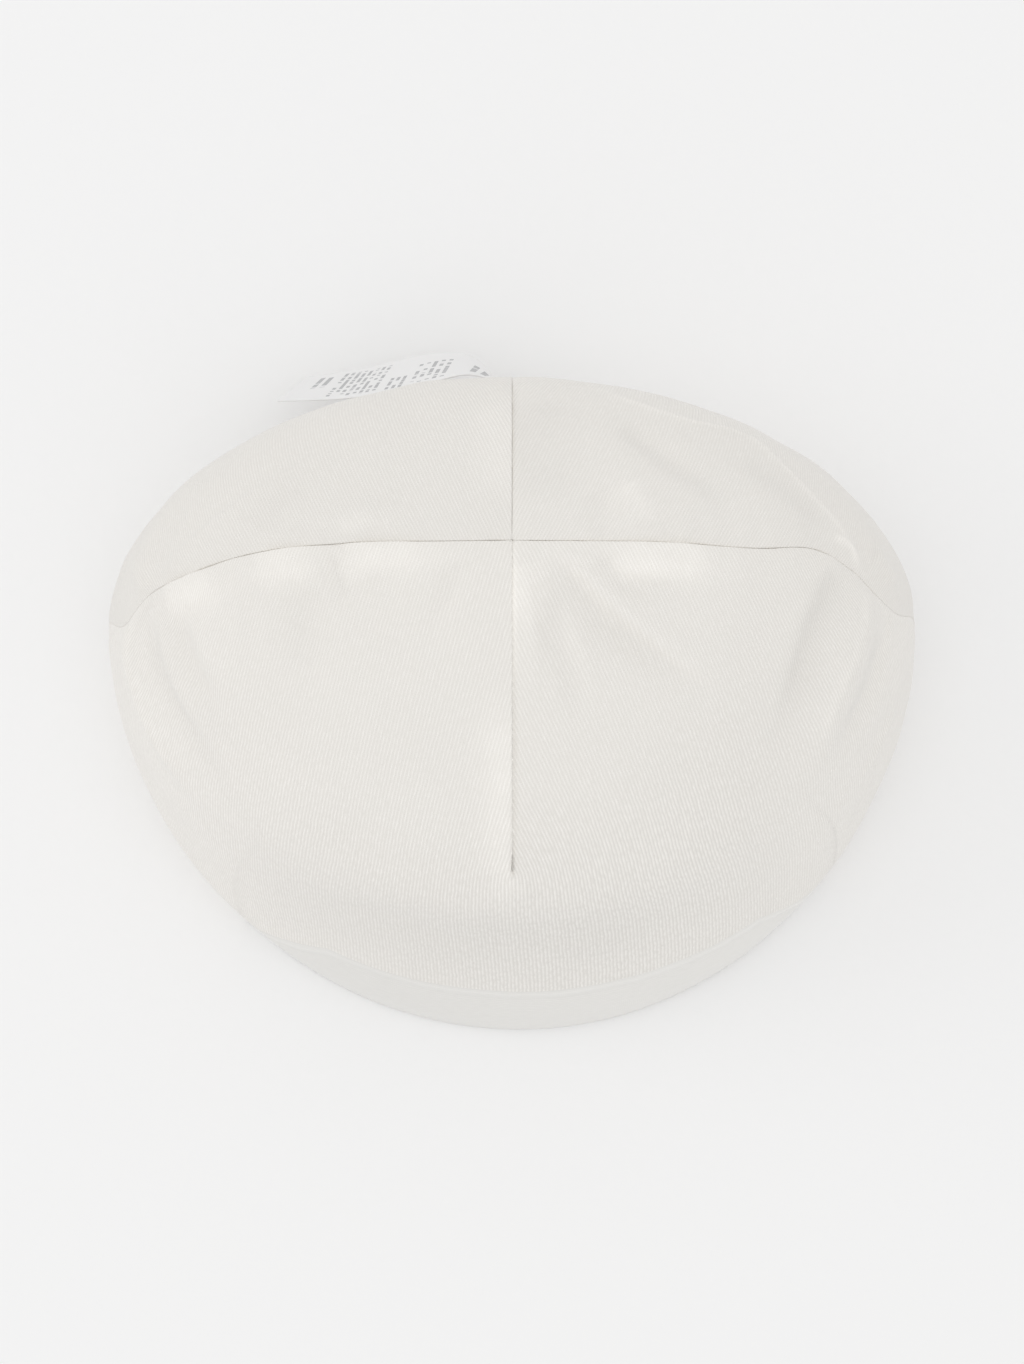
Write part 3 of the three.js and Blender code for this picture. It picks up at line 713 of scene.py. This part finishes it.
share = crowded(321, 0.5)
rise = shares(41, (0, 1))[:, None]
around = BAND["from"] + (BAND["to"] - BAND["from"]) * share
top = np.maximum(front_edge(around) - SEAM_SLIT / HEIGHT, 0)
up = rise * top
angle = np.broadcast_to(around, up.shape)
base = smooth_cap(angle, up)
normals = outward(angle, up)
length = column_lengths(base)
from_top = length[-1] - length
run = around * BROW_REACH
lift = sum(height * bell(from_top - below, width) for height, below, width in BAND_LINES)
lift = lift + unevenness(base, wavelength=18, height=0.25, seed=23)
lift = lift + gathers(np.broadcast_to(run, up.shape), from_top, reach=5, height=0.15, seed=24)
lift = lift * smoothstep(length, 0, 6)
sink = np.maximum(pressed_seam(from_top, 0.12), turned_edge(length, 0.35))
sink = to_mid_wall(sink, "bottom top left right")
outer = base + normals * (lift - sink)[..., None]
inner = base + normals * (lift - WALL + sink)[..., None]
cloth = np.stack([length, np.broadcast_to(run, up.shape)], axis=-1)
# Painted highlight along the soft ridge just below the top edge, and painted shade darker towards the left.
backing_and_painted_light = 0.5 * bell(from_top - 2, 0.6) - 0.05 - 0.5 * smoothstep(-base[..., 0], -35, 40)
brow_band = add_shell("brow_band_hem", outer, inner, cloth, backing_and_painted_light=backing_and_painted_light)
HEM_JERSEY = jersey("hem_jersey", light=(0.905, 0.892, 0.862), dark=(0.831, 0.818, 0.789), bump=0.3)
brow_band.data.materials.append(HEM_JERSEY)
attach(brow_band, "root")
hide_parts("brow_band")

# ---------------------------------------------------------------------------------------------------------
# The earflaps. Two rounded flaps of the same doubled jersey, turned up inside against the side walls, where
# they end below the crown's shoulder. Their lower edges are the folds at the rim.

FLAP = {"front": -33 * DEG, "back": 38 * DEG, "top": 0.5, "gap": 0.5, "roundness": 0.93, "arch": 0.12}

for side, word in ((1, "right"), (-1, "left")):
    rise = crowded(61, 0.6)[:, None]
    across = 2 * crowded(101, 0.6) - 1
    middle_angle = (FLAP["front"] + FLAP["back"]) / 2
    half_span = (FLAP["back"] - FLAP["front"]) / 2 * np.sqrt(1 - (FLAP["roundness"] * rise) ** 3)
    angle = (middle_angle if side > 0 else np.pi - middle_angle) + half_span * across
    up = FLAP["top"] * rise * (1 - FLAP["arch"] * across**2)
    base = smooth_cap(angle, up)
    normals = outward(angle, up)
    length = column_lengths(base)
    to_edge = (1 - np.abs(across)) * half_span * HALF_WIDTH * 0.8
    edge = np.minimum(np.minimum(length, length[-1] - length), to_edge)
    depth = WALL + FLAP["gap"]
    lift = unevenness(base, wavelength=20, height=0.12, seed=33 + side) * smoothstep(edge, 0, 6)
    sink = turned_edge(edge, 1.0)
    outer = base + normals * (lift - depth - sink)[..., None]
    inner = base + normals * (lift - depth - WALL + sink)[..., None]
    cloth = np.stack([angle * HALF_WIDTH, length], axis=-1)
    earflap = add_shell(f"earflap_{word}_jersey", outer, inner, cloth)
    earflap.data.materials.append(JERSEY)
    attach(earflap, "root")
    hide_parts(f"earflap_{word}")

# ---------------------------------------------------------------------------------------------------------
# The care label. A strip of white woven tape, caught by one end in the centre back seam, that stands on
# edge behind the cap and leans out to the left. Plain grey bars stand where such labels carry print.

LABEL = {"width": 24.0, "thickness": 0.4, "edge": 0.3, "ripple": 0.12, "ripple_length": 13, "weft": 0.25}
INK = 0.75  # how strongly the bars cover the tape
# Blocks of bars in mm: from and to along the strip from the seam, from and to up its width, the pitch of
# the rows, and how much of each row is inked.
LABEL_BARS = (
    (6.2, 11.2, 9.0, 20.0, 2.5, 0.62),
    (15.5, 24.0, 6.0, 22.0, 1.7, 0.47),
    (25.0, 29.5, 14.0, 22.0, 1.5, 0.6),
    (31.0, 43.4, 3.0, 22.0, 1.55, 0.53),
    (45.0, 49.6, 4.0, 14.0, 2.3, 0.56),
)
# A place along the strip in each column: its top edge, and how far its lower edge stands out and along.
LABEL_ROUTE = {
    "x": (-1.0, -10.0, -22.0, -36.4, -52.5),
    "y": (50.4, 53.2, 50.9, 49.4, 49.8),
    "z": (47.0, 45.0, 42.0, 37.0, 31.0),
    "out": (-1.0, 7.5, 11.5, 11.0, 9.3),
    "along": (0.0, 2.5, 4.0, 5.2, 5.7),
}

rise = crowded(31, 0.7)[:, None]
share = crowded(121, 0.5) + 0 * rise
out, along = curve_through(LABEL_ROUTE["out"], share), curve_through(LABEL_ROUTE["along"], share)
drop = np.sqrt(LABEL["width"] ** 2 - out**2 - along**2)
down = 1 - rise
centre = np.stack(
    [
        curve_through(LABEL_ROUTE["x"], share) + along * down,
        curve_through(LABEL_ROUTE["y"], share) + out * down,
        curve_through(LABEL_ROUTE["z"], share) - drop * down,
    ],
    axis=-1,
)
ways = np.gradient(centre, axis=1)
ups = np.gradient(centre, axis=0)
facing = np.cross(ups, ways)
facing /= np.linalg.norm(facing, axis=-1, keepdims=True)
run = np.linalg.norm(np.diff(centre.mean(0), axis=0), axis=-1)
run = np.concatenate([[0], run.cumsum()])
edge = np.minimum(np.minimum(rise, 1 - rise) * LABEL["width"], np.minimum(run, run[-1] - run))
half = LABEL["thickness"] / 2 * np.sqrt(1 - np.clip(1 - edge / LABEL["edge"], 0, 1) ** 2)
ripple = LABEL["ripple"] * np.cos(2 * np.pi * run / LABEL["ripple_length"]) * np.sin(np.pi * rise)
centre = centre + facing * ripple[..., None]
cloth = np.stack([np.broadcast_to(run, share.shape), rise * LABEL["width"] + 0 * share], axis=-1)
outer, inner = centre + facing * half[..., None], centre - facing * half[..., None]
label = add_shell("care_label_tape", outer, inner, cloth)


def label_material():
    """White woven tape: fine weft lines as a bump, a slight sheen, and rows of plain grey bars."""
    material = bpy.data.materials.new("label_tape")
    material.use_nodes = True
    tree = material.node_tree
    shader = tree.nodes["Principled BSDF"]
    shader.inputs["Roughness"].default_value = 0.55
    shader.inputs["Sheen Weight"].default_value = 0.1
    cloth = node(tree, "ShaderNodeUVMap", {}, uv_map="cloth").outputs["UV"]
    place = node(tree, "ShaderNodeSeparateXYZ", {0: cloth}).outputs
    print_mask = 0.0
    for start, end, low, high, pitch, share_inked in LABEL_BARS:
        row = math(tree, "DIVIDE", math(tree, "SUBTRACT", place["X"], start), pitch)
        in_row = math(tree, "COMPARE", math(tree, "FRACT", row), 0.5, 0.27)
        spot = node(tree, "ShaderNodeCombineXYZ", {0: place["Y"], 1: math(tree, "FLOOR", row), 2: start})
        words = node(tree, "ShaderNodeTexNoise", {"Vector": spot.outputs[0], "Scale": 0.75, "Detail": 1.0})
        inked = math(tree, "LESS_THAN", words.outputs["Fac"], share_inked)
        along = math(tree, "COMPARE", place["X"], (start + end) / 2, (end - start) / 2)
        over = math(tree, "COMPARE", place["Y"], (low + high) / 2, (high - low) / 2)
        bars = math(tree, "MULTIPLY", in_row, inked)
        block = math(tree, "MULTIPLY", along, over)
        print_mask = math(tree, "MAXIMUM", math(tree, "MULTIPLY", bars, block), print_mask)
    ink = math(tree, "MULTIPLY", print_mask, INK)
    colour = node(
        tree,
        "ShaderNodeMix",
        {"Factor": ink, "A": (0.89, 0.885, 0.88, 1), "B": (0.35, 0.35, 0.36, 1)},
        data_type="RGBA",
    )
    tree.links.new(colour.outputs["Result"], shader.inputs["Base Color"])
    weft = math(tree, "COSINE", math(tree, "MULTIPLY", place["X"], 2 * np.pi / LABEL["weft"]))
    height = node(tree, "ShaderNodeBump", {"Strength": 0.3, "Distance": 0.03 * MM, "Height": weft})
    tree.links.new(height.outputs["Normal"], shader.inputs["Normal"])
    return material


label.data.materials.append(label_material())
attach(label, "root")
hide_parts("care_label")

# ---------------------------------------------------------------------------------------------------------
# The floor: a plain pale sweep of paper under the cap.

floor_mesh = bpy.data.meshes.new("floor")
FLOOR_HALF, FLOOR_Z = 4.0, -0.0001
floor_corners = [(x * FLOOR_HALF, y * FLOOR_HALF, FLOOR_Z) for x, y in ((-1, -1), (1, -1), (1, 1), (-1, 1))]
floor_mesh.from_pydata(floor_corners, [], [(0, 1, 2, 3)])
floor = bpy.data.objects.new("floor", floor_mesh)
bpy.context.scene.collection.objects.link(floor)
paper = bpy.data.materials.new("paper")
paper.use_nodes = True
paper.node_tree.nodes["Principled BSDF"].inputs["Base Color"].default_value = (0.96, 0.96, 0.96, 1)
paper.node_tree.nodes["Principled BSDF"].inputs["Roughness"].default_value = 1.0
paper.node_tree.nodes["Principled BSDF"].inputs["Specular IOR Level"].default_value = 0.0
floor.data.materials.append(paper)

# ---------------------------------------------------------------------------------------------------------
# The light and the camera. A bright even room with one wide soft light on the left, a little behind, and
# another above, and a camera that looks almost straight down on the crown with the brow nearest.

ROOM_STRENGTH = 0.84
world = bpy.data.worlds.new("room")
world.use_nodes = True
world.node_tree.nodes["Background"].inputs["Color"].default_value = (1, 1, 1, 1)
world.node_tree.nodes["Background"].inputs["Strength"].default_value = ROOM_STRENGTH
bpy.context.scene.world = world

LAMPS = (  # name, place and width in metres, watts
    ("left", (-1.75, 0.2, 1.05), 1.2, 2.8),
    ("above", (0.0, 0.0, 2.2), 1.5, 3.4),
)
for name, place, width, watts in LAMPS:
    lamp_data = bpy.data.lights.new(name, "AREA")
    lamp_data.shape = "DISK"
    lamp_data.size = width
    lamp_data.energy = watts
    lamp = bpy.data.objects.new(name, lamp_data)
    lamp.location = place
    lamp.rotation_euler = (-Vector(place)).to_track_quat("-Z", "Y").to_euler()
    bpy.context.scene.collection.objects.link(lamp)

CAMERA = {"elevation": 82 * DEG, "distance": 1.5, "view_height": 0.31, "aim": Vector((0, 0.0037, 0))}
camera_data = bpy.data.cameras.new("camera")
camera_data.sensor_fit = "VERTICAL"
camera_data.sensor_height = 36
camera_data.lens = camera_data.sensor_height * CAMERA["distance"] / CAMERA["view_height"]
camera = bpy.data.objects.new("camera", camera_data)
back_off = Vector((0, -np.cos(CAMERA["elevation"]), np.sin(CAMERA["elevation"]))) * CAMERA["distance"]
camera.location = CAMERA["aim"] + back_off
camera.rotation_euler = (-back_off).to_track_quat("-Z", "Y").to_euler()
bpy.context.scene.collection.objects.link(camera)
bpy.context.scene.camera = camera
bpy.context.scene.view_settings.view_transform = "Standard"
